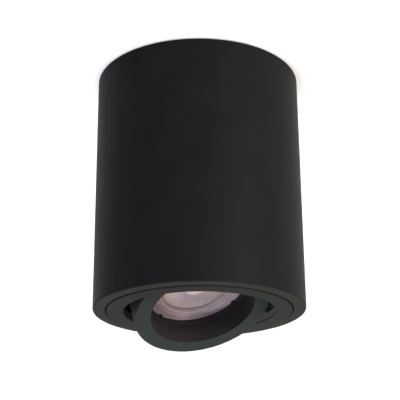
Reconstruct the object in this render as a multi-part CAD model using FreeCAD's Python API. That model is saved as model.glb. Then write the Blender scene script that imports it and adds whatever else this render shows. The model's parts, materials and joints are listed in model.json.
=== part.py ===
"""Surface mounted ceiling spotlight: a black tube housing with a turning front plate and a tilting lamp ring.

Millimetres, +Z up. The origin is on the ceiling plane, at the centre of the mounting bracket.
The light hangs below the origin. Everything inside is first built with its tilt axis along X, and is
then turned about Z to the direction that the lamp ring has at rest.
"""
import FreeCAD, Part
import math
import os

from FreeCAD import Rotation, Vector

# ---- Driving dimensions -------------------------------------------------------------------------------

# Housing: one aluminium casting, open below, with a recessed top plate
body_diameter = 98.0
body_height = 115.0
body_wall = 2.2
top_recess = 7.0
top_plate = 2.2
rim_width = 5.6
ledge_reach = 2.2
ledge_thickness = 2.1
outer_edge_round = 0.8
rim_edge_round = 0.4

# Front plate: it turns in the mouth of the housing
seam = 0.8
plate_thickness = 3.7
plate_proud = 0.4
seat_gap = 0.3
opening_gap = 3.0
collar_gap = 0.8
collar_wall = 1.8
collar_top = 16.0
stop_pin_diameter = 1.4
stop_pin_drop = 1.3
stop_block_angle = 7.0

# Tilt pivots
pivot_height = 7.0
pivot_boss_radius = 4.6
pivot_boss_inset = 0.6
shoulder_diameter = 4.0
pivot_head_diameter = 7.0
pivot_head_height = 2.0
pivot_thread_diameter = 3.0
pivot_thread_length = 4.6
friction_washer_thickness = 1.0
disc_spring_height = 0.7
disc_spring_gauge = 0.4
washer_diameter = 7.4

# Lamp ring
ring_bore_step = 0.9
ring_face_to_pivot = 7.8
ring_face_thickness = 2.4
ring_flat_depth = 0.4
ring_pad_width = 9.2
ring_pad_height = 5.0
ring_outer_wall = 2.0
ring_channel = 2.3
ring_seat_wall = 2.2
lamp_seat_clearance = 0.4
lip_reach = 2.0
lip_thickness = 1.2
lamp_face_from_pivot = 4.5
lip_tab_width = 1.6
lip_tab_reach = 0.8
lip_tab_angles = (10.5, 110.5, 190.5, 290.5)
stop_lug_width = 8.0
stop_lug_thickness = 1.2
tilt_limit = 25.0

# Wire clip behind the lamp
clip_wire = 1.2
clip_in_groove = 0.5
clip_ear_inset = 0.2
clip_gap_angle = 34.0
clip_ear_height = 5.0

# Lamp: 50 mm reflector lamp with a two-pin twist base
lamp_diameter = 50.0
lamp_rim_thickness = 3.2
lamp_neck_diameter = 28.0
lamp_taper_end = 29.0
lamp_waist_bulge = 1.8
lamp_length = 44.0
lamp_wall = 1.3
lamp_mouth_diameter = 36.4
lamp_cover_thickness = 1.2
lamp_cover_set_back = 0.6
reflector_mouth_diameter = 30.4
reflector_depth = 12.0
reflector_throat_diameter = 9.0
reflector_wall = 0.7
reflector_bulge = 2.6
led_board_diameter = 22.0
led_board_thickness = 1.4
led_diameter = 7.2
led_height = 0.8
base_diameter = 26.6
base_wall = 1.5
base_end_wall = 2.0
base_spigot = 3.0
base_collar = 1.5
driver_width = 17.0
driver_board_thickness = 1.2
driver_in_taper = 8.0
capacitor_diameter = 6.4
pin_spacing = 10.0
pin_neck_diameter = 2.8
pin_neck_length = 3.0
pin_root = 2.0
pin_head_diameter = 5.0
pin_head_length = 2.6

# Lamp holder
holder_length = 28.0
holder_width = 17.0
holder_height = 10.0
holder_front_wall = 2.6
holder_back = 2.6
holder_twist = 22.0
holder_slot_clearance = 0.3
holder_pocket_sweep = 82.0
holder_pocket_start = -30.0
holder_pocket_inner = 1.9
holder_pocket_past_pin = 1.1
contact_gauge = 0.5
contact_width = 3.6
holder_screw_past_pin = 5.2
holder_screw_diameter = 2.5
holder_screw_bite = 7.0
holder_screw_head = 4.6
holder_screw_head_height = 1.5
lead_exit_offset = 3.4

# Ceiling bracket
bracket_gauge = 1.5
bracket_width = 20.0
bracket_flat = 62.0
bracket_length = 88.0
bracket_slot_spacing = 46.0
bracket_slot_width = 4.5
bracket_slot_length = 10.0
bracket_cable_hole = 12.0
bracket_corner_round = 3.0
housing_screw_spacing = 77.0
housing_screw_diameter = 4.0
housing_screw_length = 6.5
housing_screw_head_diameter = 7.6
housing_screw_head_height = 2.6

# Cable entry
grommet_hole = 11.0
grommet_flange = 15.0
grommet_flange_thickness = 1.4
grommet_bore = 7.0

# Terminal block, three poles side by side along Y
terminal_pitch = 8.6
terminal_width = 17.0
terminal_height = 14.0
terminal_end_wall = 1.0
terminal_center = 19.5
terminal_wire_drop = 8.0
clamp_length = 13.0
clamp_outer = 5.4
clamp_bore = 3.4
clamp_screw_diameter = 2.6
clamp_screw_length = 4.4
clamp_screw_slot = 0.6
clamp_screw_spacing = 7.0
clamp_screw_well = 4.6
block_screw_diameter = 2.5
block_screw_head = 4.8
block_screw_head_height = 1.8
block_screw_seat = 3.0

# Earth point on the top plate
earth_x = -12.0
earth_y = 33.0
earth_screw_diameter = 4.0
earth_screw_head = 7.6
earth_screw_head_height = 2.6
earth_washer_diameter = 9.0
earth_washer_gauge = 0.8
earth_washer_teeth = 10
earth_washer_notch = 1.1
earth_tag_diameter = 8.0
earth_tag_gauge = 0.8
earth_tag_neck = 3.2
earth_tag_length = 13.0
earth_barrel_length = 5.0
earth_barrel_wall = 0.6

# Leaf springs on the collar
spring_count = 3
spring_gauge = 0.5
spring_width = 8.0
spring_first_angle = -15.0
spring_clear = 0.35
rivet_diameter = 2.4
rivet_head_diameter = 4.2
rivet_head_height = 0.7
rivet_below_top = 3.2
spring_flat = 6.2

# Internal leads
lead_diameter = 2.2
lead_spacing = 3.0
lead_bend = 7.5
lead_drop_offset = 9.6
lead_clip_gauge = 0.8
lead_clip_width = 6.0
lead_clip_tongue = 4.2
clip_screw_diameter = 2.0
clip_screw_head = 3.6
clip_screw_head_height = 0.9

# How the light stands in the photograph
swivel_azimuth = 32.8
tilt_at_rest = 25.0

# Clearances
running_clearance = 0.05
screw_clearance = 0.25
press_clearance = 0.02
loose_clearance = 0.1
part_gap = 0.3

# ---- Worked out from the driving dimensions -----------------------------------------------------------

X, Y, Z = Vector(1, 0, 0), Vector(0, 1, 0), Vector(0, 0, 1)
ORIGIN = Vector(0, 0, 0)

body_r = body_diameter / 2
body_inner_r = body_r - body_wall
bottom = -body_height
plate_bay_r = body_r - rim_width
plate_r = plate_bay_r - seam
ledge_r = plate_bay_r - ledge_reach
bay_top = bottom - plate_proud + plate_thickness + seat_gap
ledge_top = bay_top + ledge_thickness
top_plate_top = -top_recess
top_plate_bottom = top_plate_top - top_plate
plate_bottom = bottom - plate_proud
plate_top = plate_bottom + plate_thickness
collar_outer_r = ledge_r - collar_gap
collar_inner_r = collar_outer_r - collar_wall
collar_top_z = bottom + collar_top
pivot_z = bottom + pivot_height
stop_pin_circle = (plate_bay_r + ledge_r) / 2
lamp_r = lamp_diameter / 2
lip_r = lamp_r - lip_reach
seat_r = lamp_r + lamp_seat_clearance
ring_bore_r = seat_r - ring_bore_step
ring_r = seat_r + ring_seat_wall + ring_channel + ring_outer_wall
opening_r = ring_r + opening_gap
ring_flat_x = ring_r - ring_flat_depth
boss_face_x = ring_flat_x + friction_washer_thickness + disc_spring_height + 2 * running_clearance
pivot_head_x = collar_outer_r - pivot_head_height - part_gap
led_board_low = (lamp_face_from_pivot + lamp_cover_set_back + lamp_cover_thickness + reflector_depth
                 + loose_clearance)
lamp_base_from_pivot = lamp_face_from_pivot + lamp_length
holder_back_from_pivot = lamp_base_from_pivot + holder_height + holder_back
holder_screw_x = pin_spacing / 2 + holder_screw_past_pin
terminal_length = 3 * terminal_pitch + 2 * terminal_end_wall
terminal_bottom = top_plate_bottom - terminal_height
wire_z = top_plate_bottom - terminal_wire_drop

# At the tilt limit a stop lug's end lies one gap above the front plate and one gap inside the collar
tilt_sin, tilt_cos = math.sin(math.radians(tilt_limit)), math.cos(math.radians(tilt_limit))
plate_above_pivot = plate_top + part_gap - pivot_z
stop_lug_reach = (tilt_cos * (collar_inner_r - part_gap) - tilt_sin * plate_above_pivot
                  - tilt_sin * tilt_cos * stop_lug_thickness)
ring_back_from_pivot = (plate_above_pivot + stop_lug_reach * tilt_sin) / tilt_cos + stop_lug_thickness


# ---- Shape helpers ------------------------------------------------------------------------------------

def cyl(radius, height, base, axis=Z):
    return Part.makeCylinder(radius, height, base, axis)


def box(x0, x1, y0, y1, z0, z1):
    return Part.makeBox(x1 - x0, y1 - y0, z1 - z0, Vector(x0, y0, z0))


def tube(outer, inner, z0, z1):
    return cyl(outer, z1 - z0, Vector(0, 0, z0)).cut(cyl(inner, z1 - z0, Vector(0, 0, z0)))


def revolve(points):
    """The solid of revolution about Z of a closed outline of (radius, height) points."""
    outline = [Vector(r, 0, z) for r, z in points]
    face = Part.Face(Part.makePolygon(outline + outline[:1]))
    return face.revolve(ORIGIN, Z, 360)


def revolve_edges(edges):
    """The solid of revolution about Z of a closed chain of edges in the XZ plane."""
    face = Part.Face(Part.Wire(Part.__sortEdges__(edges)))
    return face.revolve(ORIGIN, Z, 360)


def sector(inner, outer, start, sweep, z0, z1):
    """A ring segment about Z, from the start angle on, in degrees."""
    wedge = Part.makeCylinder(outer, z1 - z0, Vector(0, 0, z0), Z, sweep)
    wedge = wedge.cut(cyl(inner, z1 - z0, Vector(0, 0, z0)))
    wedge.rotate(ORIGIN, Z, start)
    return wedge


def slot(length, width, x, z0, z1):
    """A round-ended slot along X, centred on x."""
    half = (length - width) / 2
    body = box(x - half, x + half, -width / 2, width / 2, z0, z1)
    for end in (x - half, x + half):
        body = body.fuse(cyl(width / 2, z1 - z0, Vector(end, 0, z0)))
    return body.removeSplitter()


def turned(shape, angle, axis=Z, center=ORIGIN):
    copy = shape.copy()
    copy.rotate(center, axis, angle)
    return copy


def moved(shape, offset):
    copy = shape.copy()
    copy.translate(offset)
    return copy


def edges_at(shape, z, radius):
    """The round edges of a shape at one height and radius."""
    return [e for e in shape.Edges
            if isinstance(e.Curve, Part.Circle)
            and abs(e.Curve.Radius - radius) < 1e-3
            and abs(e.Curve.Center.z - z) < 1e-3]


def cross_head(radius, height, recess, base, axis):
    """A round head with a cross recess. base is where it meets the shank; axis points out of the head."""
    head = Part.makeCylinder(radius, height, ORIGIN, Z)
    head = head.makeFillet(height * 0.35, edges_at(head, height, radius))
    half = recess / 2
    width = recess * 0.28
    depth = height * 0.55
    for a, b in ((half, width / 2), (width / 2, half)):
        head = head.cut(box(-a, a, -b, b, height - depth, height + 1))
    head.Placement = FreeCAD.Placement(base, Rotation(Z, axis))
    return head


def screw(diameter, length, head_diameter, head_height, base, axis):
    """A cross-head screw. base is the face that the head bears on; axis points out of the head."""
    shank = cyl(diameter / 2, length, base - axis * length, axis)
    return cross_head(head_diameter / 2, head_height, head_diameter * 0.6, base, axis).fuse(shank)


def lead(points, radii, name):
    """A round lead along straight runs joined by tangent arcs, one radius for each inner point."""
    edges = []
    start = points[0]
    for i, radius in enumerate(radii, 1):
        corner = points[i]
        back = (points[i - 1] - corner).normalize()
        on = (points[i + 1] - corner).normalize()
        half = back.getAngle(on) / 2
        reach = radius / math.tan(half)
        a, b = corner + back * reach, corner + on * reach
        middle = (back + on).normalize()
        apex = corner + middle * (radius / math.sin(half) - radius)
        edges.append(Part.LineSegment(start, a).toShape())
        edges.append(Part.Arc(a, apex, b).toShape())
        start = b
    edges.append(Part.LineSegment(start, points[-1]).toShape())
    path = Part.Wire(edges)
    direction = (points[1] - points[0]).normalize()
    section = Part.Wire(Part.makeCircle(lead_diameter / 2, points[0], direction))
    body = path.makePipeShell([section], True, False)
    expected = math.pi * lead_diameter ** 2 / 4 * path.Length
    print(name, "length", round(path.Length, 1), "radii", radii,
          "volume ratio", round(body.Volume / expected, 4))
    return body


# ---- Placing ------------------------------------------------------------------------------------------

def in_fixture(shape):
    """From the working frame, with the tilt axis along X, to the frame of the light."""
    return turned(shape, swivel_azimuth)


def in_head(shape):
    """From the lamp ring's own frame, origin at the pivot and +Z up the lamp, to the frame of the light."""
    tilted = turned(shape, -tilt_at_rest, X)
    tilted.translate(Vector(0, 0, pivot_z))
    return in_fixture(tilted)


def head_point(x, y, h):
    """A point of the lamp ring's own frame, in the working frame."""
    return Rotation(X, -tilt_at_rest).multVec(Vector(x, y, h)) + Vector(0, 0, pivot_z)


# ---- Ceiling bracket and housing ----------------------------------------------------------------------

def ceiling_bracket():
    """A steel strap: flat on the ceiling, with both ends stepped down to the housing's top plate."""
    half = bracket_flat / 2
    end = bracket_length / 2
    y = bracket_width / 2
    step_top = -bracket_gauge
    strap = box(-half, half, -y, y, step_top, 0)
    for side in (-1, 1):
        x_in, x_out = sorted((side * (half - bracket_gauge), side * half))
        strap = strap.fuse(box(x_in, x_out, -y, y, top_plate_top, 0))
        x_in, x_out = sorted((side * (half - bracket_gauge), side * end))
        strap = strap.fuse(box(x_in, x_out, -y, y, top_plate_top, top_plate_top + bracket_gauge))
    strap = strap.removeSplitter()
    corners = [e for e in strap.Edges
               if abs(e.BoundBox.ZLength - bracket_gauge) < 1e-3
               and abs(abs(e.BoundBox.Center.x) - end) < 1e-3]
    strap = strap.makeFillet(bracket_corner_round, corners)
    for side in (-1, 1):
        x = side * bracket_slot_spacing / 2
        strap = strap.cut(slot(bracket_slot_length, bracket_slot_width, x, step_top - 1, 1))
        tapped = housing_screw_diameter / 2 + press_clearance
        x = side * housing_screw_spacing / 2
        strap = strap.cut(cyl(tapped, 4, Vector(x, 0, top_plate_top - 1)))
    return strap.cut(cyl(bracket_cable_hole / 2, 4, Vector(0, 0, -3)))


def housing():
    """The tube with its recessed top plate, the bay for the front plate and the ledge above it."""
    shell = revolve([
        (body_r, bottom), (body_r, 0), (body_inner_r, 0), (body_inner_r, top_plate_top),
        (0, top_plate_top), (0, top_plate_bottom), (body_inner_r, top_plate_bottom),
        (body_inner_r, ledge_top), (ledge_r, ledge_top), (ledge_r, bay_top),
        (plate_bay_r, bay_top), (plate_bay_r, bottom),
    ])
    shell = shell.makeFillet(outer_edge_round, edges_at(shell, bottom, body_r))
    sharp = edges_at(shell, bottom, plate_bay_r) + edges_at(shell, 0, body_r)
    shell = shell.makeFillet(rim_edge_round, sharp)
    below = top_plate_bottom - 1
    through = top_plate + 2
    holes = [cyl(grommet_hole / 2, through, Vector(0, 0, below))]
    for side in (-1, 1):
        radius = housing_screw_diameter / 2 + screw_clearance
        holes.append(cyl(radius, through, Vector(side * housing_screw_spacing / 2, 0, below)))
    holes.append(in_fixture(cyl(earth_screw_diameter / 2 + press_clearance, through,
                                Vector(earth_x, earth_y, below))))
    holes.append(in_fixture(cyl(block_screw_diameter / 2 + press_clearance, through,
                                Vector(-terminal_center, terminal_pitch / 2, below))))
    holes.append(in_fixture(stop_pin(press_clearance)))
    for hole in holes:
        shell = shell.cut(hole)
    return shell


def housing_screws():
    return [screw(housing_screw_diameter, housing_screw_length, housing_screw_head_diameter,
                  housing_screw_head_height,
                  Vector(side * housing_screw_spacing / 2, 0, top_plate_bottom), -Z)
            for side in (-1, 1)]


def stop_pin(extra=0.0):
    """The pin that limits the turning, in the ledge on the side away from the stop block."""
    low = bay_top - stop_pin_drop
    return cyl(stop_pin_diameter / 2 + extra, ledge_top - low, Vector(0, stop_pin_circle, low))


def cable_grommet():
    """A rubber ring grommet with a groove that holds the edge of the hole in the top plate."""
    flange = grommet_flange / 2
    neck = grommet_hole / 2 - press_clearance
    bore = grommet_bore / 2
    low = top_plate_bottom - grommet_flange_thickness
    high = top_plate_top + grommet_flange_thickness
    ring = revolve([
        (bore, low), (flange, low), (flange, top_plate_bottom), (neck, top_plate_bottom),
        (neck, top_plate_top), (flange, top_plate_top), (flange, high), (bore, high),
    ])
    round_edges = edges_at(ring, low, flange) + edges_at(ring, high, flange)
    return ring.makeFillet(grommet_flange_thickness * 0.45, round_edges)


# ---- Terminal block and earth point -------------------------------------------------------------------

def pole_positions():
    return [(i - 1) * terminal_pitch for i in range(3)]


def terminal_block():
    """A three-pole plastic block, its wire holes along X and its screw wells open below."""
    x0, x1 = -terminal_center - terminal_width / 2, -terminal_center + terminal_width / 2
    y = terminal_length / 2
    block = box(x0, x1, -y, y, terminal_bottom, top_plate_bottom)
    block = block.makeFillet(1.0, [e for e in block.Edges if e.BoundBox.ZLength > terminal_height - 1e-3])
    for pole in pole_positions():
        bore_length = clamp_length + 2 * loose_clearance
        block = block.cut(cyl(clamp_outer / 2 + loose_clearance, bore_length,
                              Vector(-terminal_center - bore_length / 2, pole, wire_z), X))
        block = block.cut(cyl(clamp_bore / 2, terminal_width + 2, Vector(x0 - 1, pole, wire_z), X))
        for side in (-1, 1):
            x = -terminal_center + side * clamp_screw_spacing / 2
            block = block.cut(cyl(clamp_screw_well / 2, wire_z - terminal_bottom + 1,
                                  Vector(x, pole, terminal_bottom - 1)))
    hole = Vector(-terminal_center, terminal_pitch / 2, terminal_bottom - 1)
    block = block.cut(cyl(block_screw_diameter / 2 + loose_clearance, terminal_height + 2, hole))
    return block.cut(cyl(block_screw_head / 2 + screw_clearance, 1 + block_screw_seat, hole))


def terminal_clamps():
    """Brass tubes, one to a pole, each with two tapped holes for its clamping screws."""
    clamps = []
    for pole in pole_positions():
        start = Vector(-terminal_center - clamp_length / 2, pole, wire_z)
        clamp = cyl(clamp_outer / 2, clamp_length, start, X).cut(cyl(clamp_bore / 2, clamp_length, start, X))
        for side in (-1, 1):
            x = -terminal_center + side * clamp_screw_spacing / 2
            hole = Vector(x, pole, wire_z - clamp_outer)
            clamp = clamp.cut(cyl(clamp_screw_diameter / 2 + press_clearance, clamp_outer, hole))
        clamps.append(clamp)
    return clamps


def terminal_screws():
    """Slotted clamping screws, two to a pole, that stand in the block's wells."""
    screws = []
    slot_half = clamp_screw_slot / 2
    low = wire_z - lead_diameter / 2 - clamp_screw_length
    for pole in pole_positions():
        for side in (-1, 1):
            x = -terminal_center + side * clamp_screw_spacing / 2
            body = cyl(clamp_screw_diameter / 2, clamp_screw_length, Vector(x, pole, low))
            screws.append(body.cut(box(x - clamp_outer, x + clamp_outer, pole - slot_half, pole + slot_half,
                                       low - 1, low + 1.5 * clamp_screw_slot)))
    return screws


def terminal_block_screw():
    base = Vector(-terminal_center, terminal_pitch / 2, terminal_bottom + block_screw_seat)
    length = terminal_height - block_screw_seat + top_plate
    return screw(block_screw_diameter, length, block_screw_head, block_screw_head_height, base, -Z)


def earth_washer():
    """A washer with teeth round its edge, against the top plate."""
    low = top_plate_bottom - earth_washer_gauge
    rim = earth_washer_diameter / 2
    washer = tube(rim, earth_screw_diameter / 2 + loose_clearance, low, top_plate_bottom)
    notch = box(rim - earth_washer_notch, rim + 1, -0.5, 0.5, low - 1, top_plate_bottom + 1)
    for i in range(earth_washer_teeth):
        washer = washer.cut(turned(notch, i * 360.0 / earth_washer_teeth))
    return moved(washer, Vector(earth_x, earth_y, 0))


def earth_barrel_start():
    """Where the earth lead enters the ring tag's barrel."""
    return Vector(earth_x - earth_tag_length, earth_y,
                  top_plate_bottom - earth_washer_gauge - earth_tag_gauge - lead_diameter / 2)


def earth_ring_tag():
    """A crimped ring tag under the earth screw."""
    high = top_plate_bottom - earth_washer_gauge
    low = high - earth_tag_gauge
    start = earth_barrel_start()
    barrel = cyl(lead_diameter / 2 + earth_barrel_wall, earth_barrel_length, start, X)
    barrel = barrel.cut(cyl(lead_diameter / 2 + press_clearance, earth_barrel_length - 1, start, X))
    neck_start = start.x + earth_barrel_length - 1
    neck = box(neck_start, earth_x, earth_y - earth_tag_neck / 2, earth_y + earth_tag_neck / 2, low, high)
    eye = cyl(earth_tag_diameter / 2, earth_tag_gauge, Vector(earth_x, earth_y, low))
    tag = eye.fuse([neck, barrel]).removeSplitter()
    return tag.cut(cyl(earth_screw_diameter / 2 + loose_clearance, 4, Vector(earth_x, earth_y, low - 1)))


def earth_screw():
    stack = earth_washer_gauge + earth_tag_gauge
    return screw(earth_screw_diameter, stack + top_plate, earth_screw_head, earth_screw_head_height,
                 Vector(earth_x, earth_y, top_plate_bottom - stack), -Z)


# ---- Front plate and what it carries ------------------------------------------------------------------

def front_plate():
    """The turning plate with its opening, collar, two pivot bosses and the block that meets the stop pin."""
    plate = revolve([
        (opening_r, plate_bottom), (plate_r, plate_bottom), (plate_r, plate_top),
        (collar_outer_r, plate_top), (collar_outer_r, collar_top_z), (collar_inner_r, collar_top_z),
        (collar_inner_r, plate_top), (opening_r, plate_top),
    ])
    for angle in spring_angles():
        plate = plate.cut(turned(rivet_hole(), angle))
    plate = plate.cut(clip_screw_hole())
    rebate_inner = stop_pin_circle - stop_pin_diameter / 2 - part_gap
    plate = plate.cut(sector(rebate_inner, plate_r + 1, -90 + stop_block_angle / 2, 360 - stop_block_angle,
                             plate_top - stop_pin_drop, plate_top + 1))
    boss_end = collar_outer_r - pivot_boss_inset
    root = plate_top - part_gap
    bosses = []
    for side in (-1, 1):
        face = side * boss_face_x
        boss = cyl(pivot_boss_radius, boss_end - boss_face_x, Vector(face, 0, pivot_z), X * side)
        x0, x1 = sorted((face, side * boss_end))
        boss = boss.fuse(box(x0, x1, -pivot_boss_radius, pivot_boss_radius, root, pivot_z))
        boss = boss.cut(box(x0, x1, -pivot_boss_radius, pivot_boss_radius, bottom, root))
        within = cyl(collar_outer_r - pivot_boss_inset / 2, body_height, Vector(0, 0, bottom))
        bosses.append(boss.common(within))
    plate = plate.fuse(bosses)
    for side in (-1, 1):
        plate = plate.cut(cyl(shoulder_diameter / 2 + running_clearance, collar_outer_r,
                              Vector(side * (boss_face_x - 1), 0, pivot_z), X * side))
        plate = plate.cut(cyl(pivot_head_diameter / 2 + screw_clearance, collar_outer_r,
                              Vector(side * pivot_head_x, 0, pivot_z), X * side))
    return plate.makeFillet(rim_edge_round, edges_at(plate, plate_bottom, opening_r)
                            + edges_at(plate, plate_bottom, plate_r))


def spring_angles():
    return [spring_first_angle + i * 360.0 / spring_count for i in range(spring_count)]


def rivet_z():
    return collar_top_z - rivet_below_top


def rivet_hole():
    return cyl(rivet_diameter / 2 + press_clearance, 6, Vector(collar_inner_r - 2, 0, rivet_z()), X)


def leaf_springs():
    """Bent strips riveted on the collar: each bows out over the ledge and holds the plate up."""
    inner = collar_outer_r
    bulge = body_inner_r - spring_clear
    low = ledge_top + spring_clear
    corner_x = (ledge_r + bulge) / 2
    centre = [Vector(inner + spring_gauge / 2, 0, collar_top_z - spring_gauge),
              Vector(inner + spring_gauge / 2, 0, collar_top_z - spring_flat),
              Vector(bulge - spring_gauge / 2, 0, low + 3.0),
              Vector(corner_x - spring_gauge, 0, low + spring_gauge / 2)]
    path = []
    for a, b in zip(centre, centre[1:]):
        along = (b - a).normalize()
        across = Vector(-along.z, 0, along.x) * (spring_gauge / 2)
        ends = [a - along * 0.05, b + along * 0.05]
        points = [ends[0] + across, ends[1] + across, ends[1] - across, ends[0] - across]
        face = Part.Face(Part.makePolygon([p - Y * spring_width / 2 for p in points + points[:1]]))
        path.append(face.extrude(Y * spring_width))
    strip = path[0].fuse(path[1:]).removeSplitter()
    strip = strip.cut(cyl(rivet_diameter / 2 + press_clearance, 4, Vector(inner - 1, 0, rivet_z()), X))
    return [turned(strip, angle) for angle in spring_angles()]


def spring_rivets():
    """Domed rivets through the collar and the springs."""
    rivets = []
    outside = collar_outer_r + spring_gauge
    inside = math.sqrt(collar_inner_r ** 2 - (rivet_head_diameter / 2) ** 2) - running_clearance
    for angle in spring_angles():
        shank = cyl(rivet_diameter / 2, outside - inside, Vector(inside, 0, rivet_z()), X)
        head = cyl(rivet_head_diameter / 2, rivet_head_height, Vector(outside, 0, rivet_z()), X)
        tail = cyl(rivet_head_diameter / 2, rivet_head_height,
                   Vector(inside - rivet_head_height, 0, rivet_z()), X)
        rivets.append(turned(shank.fuse([head, tail]).removeSplitter(), angle))
    return rivets


def friction_washers():
    """Nylon washers between the lamp ring and the springs."""
    low = ring_flat_x + running_clearance / 2
    return [cyl(washer_diameter / 2, friction_washer_thickness, Vector(side * low, 0, 0), X * side)
            .cut(cyl(shoulder_diameter / 2 + running_clearance, friction_washer_thickness,
                     Vector(side * low, 0, 0), X * side))
            for side in (-1, 1)]


def disc_springs():
    """Coned steel washers that press the nylon washers on the lamp ring."""
    start = ring_flat_x + running_clearance + friction_washer_thickness
    hole = shoulder_diameter / 2 + running_clearance
    rim = washer_diameter / 2
    cone = revolve([(hole, disc_spring_height - disc_spring_gauge), (hole, disc_spring_height),
                    (rim, disc_spring_gauge), (rim, 0)])
    springs = []
    for side in (-1, 1):
        spring = cone.copy()
        spring.Placement = FreeCAD.Placement(Vector(side * start, 0, 0), Rotation(Z, X * side))
        springs.append(spring)
    return springs


# ---- Lamp ring ----------------------------------------------------------------------------------------

def gimbal_ring():
    """A die-cast ring: a flat face, two walls, the lip that the lamp rests on, pivot pads and stops."""
    face = -ring_face_to_pivot
    back = ring_back_from_pivot
    inner_wall = seat_r + ring_seat_wall
    lip_low = lamp_face_from_pivot - lip_thickness
    channel = face + ring_face_thickness
    ring = revolve([
        (ring_bore_r, face), (ring_r, face), (ring_r, back), (ring_r - ring_outer_wall, back),
        (ring_r - ring_outer_wall, channel), (inner_wall, channel), (inner_wall, back), (seat_r, back),
        (seat_r, lamp_face_from_pivot), (lip_r, lamp_face_from_pivot), (lip_r, lip_low),
        (ring_bore_r, lip_low),
    ])
    ring = ring.makeFillet(rim_edge_round, edges_at(ring, face, ring_r) + edges_at(ring, face, ring_bore_r))
    solids = []
    for side in (-1, 1):
        x0, x1 = sorted((side * (ring_bore_r + 0.6), side * (ring_r - 0.6)))
        solids.append(box(x0, x1, -ring_pad_width / 2, ring_pad_width / 2, face + 0.6, ring_pad_height))
        y0, y1 = sorted((side * (ring_r - 1.0), side * stop_lug_reach))
        lug = box(-stop_lug_width / 2, stop_lug_width / 2, y0, y1, back - stop_lug_thickness, back)
        solids.append(lug.common(cyl(stop_lug_reach, 60, Vector(0, 0, -20))))
    for angle in lip_tab_angles:
        half = lip_tab_width / 2
        tab = box(lip_r - lip_tab_reach, lip_r + 1, -half, half, lip_low, lamp_face_from_pivot)
        solids.append(turned(tab, angle))
    ring = ring.fuse(solids).removeSplitter()
    for side in (-1, 1):
        flat = cyl(washer_diameter / 2 + part_gap, 5, Vector(side * ring_flat_x, 0, 0), X * side)
        thread = cyl(pivot_thread_diameter / 2 + press_clearance, pivot_thread_length + 1.2,
                     Vector(side * (ring_flat_x - pivot_thread_length - 0.2), 0, 0), X * side)
        ring = ring.cut(flat).cut(thread)
    groove_low = lamp_face_from_pivot + lamp_rim_thickness + loose_clearance
    return ring.cut(tube(seat_r + clip_in_groove + loose_clearance, seat_r - 1,
                         groove_low, groove_low + clip_wire + 2 * loose_clearance))


def pivot_screws():
    """Shoulder screws: threaded into the lamp ring, they turn in the bores of the front plate."""
    screws = []
    for side in (-1, 1):
        axis = X * side
        thread = cyl(pivot_thread_diameter / 2, pivot_thread_length,
                     Vector(side * (ring_flat_x - pivot_thread_length), 0, 0), axis)
        shoulder = cyl(shoulder_diameter / 2, pivot_head_x + running_clearance - ring_flat_x,
                       Vector(side * ring_flat_x, 0, 0), axis)
        head = cross_head(pivot_head_diameter / 2, pivot_head_height - running_clearance, 4.0,
                          Vector(side * (pivot_head_x + running_clearance), 0, 0), axis)
        screws.append(head.fuse([shoulder, thread]))
    return screws


def lamp_clip():
    """A spring wire ring in the groove behind the lamp's rim, open on one side, with two upright ends."""
    wire_r = clip_wire / 2
    radius = seat_r - wire_r + clip_in_groove
    ear_radius = seat_r - wire_r - clip_ear_inset
    height = lamp_face_from_pivot + lamp_rim_thickness + 2 * loose_clearance + wire_r
    wire = Part.makeTorus(radius, wire_r, Vector(0, 0, height), Z, 0, 360, 360 - clip_gap_angle)
    wire.rotate(ORIGIN, Z, clip_gap_angle / 2 + 90)
    for side in (-1, 1):
        angle = math.radians(90 + side * clip_gap_angle / 2)
        outward = Vector(math.cos(angle), math.sin(angle), 0)
        end = outward * radius + Z * height
        foot = outward * ear_radius + Z * height
        wire = wire.fuse([Part.makeSphere(wire_r, end), cyl(wire_r, radius - ear_radius, foot, outward),
                          Part.makeSphere(wire_r, foot), cyl(wire_r, clip_ear_height, foot)])
    return wire.removeSplitter()


# ---- Lamp ---------------------------------------------------------------------------------------------

def lamp_h(depth):
    """Height above the pivot of a point that lies some depth behind the lamp's front face."""
    return lamp_face_from_pivot + depth


def taper_arc(offset):
    """The lamp's waist as an arc, from behind the rim to the neck, in (radius, height)."""
    top = lamp_r - 1.0 - offset
    neck = lamp_neck_diameter / 2 - offset
    start = Vector(top, 0, lamp_h(lamp_rim_thickness))
    end = Vector(neck, 0, lamp_h(lamp_taper_end))
    chord = (end - start).normalize()
    middle = (start + end) * 0.5 + Vector(chord.z, 0, -chord.x) * lamp_waist_bulge
    return start, middle, end


def lamp_body():
    """The moulded bowl: a wide rim, a waist that narrows to the neck, hollow inside."""
    start, middle, end = taper_arc(0)
    in_start, in_middle, in_end = taper_arc(lamp_wall)
    mouth = lamp_mouth_diameter / 2
    front = lamp_h(0)
    seat = lamp_h(lamp_cover_set_back + lamp_cover_thickness + 1.0)
    outline = [
        Vector(mouth, 0, front), Vector(lamp_r, 0, front),
        Vector(lamp_r, 0, lamp_h(lamp_rim_thickness)), start,
    ]
    edges = [Part.LineSegment(a, b).toShape() for a, b in zip(outline, outline[1:])]
    edges.append(Part.Arc(start, middle, end).toShape())
    edges.append(Part.LineSegment(end, in_end).toShape())
    edges.append(Part.Arc(in_end, in_middle, in_start).toShape())
    back = [in_start, Vector(in_start.x, 0, seat), Vector(mouth, 0, seat), outline[0]]
    edges += [Part.LineSegment(a, b).toShape() for a, b in zip(back, back[1:])]
    return revolve_edges(edges)


def lamp_cover():
    """The clear front lens."""
    return cyl(lamp_mouth_diameter / 2 - press_clearance, lamp_cover_thickness,
               Vector(0, 0, lamp_h(lamp_cover_set_back)))


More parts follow.
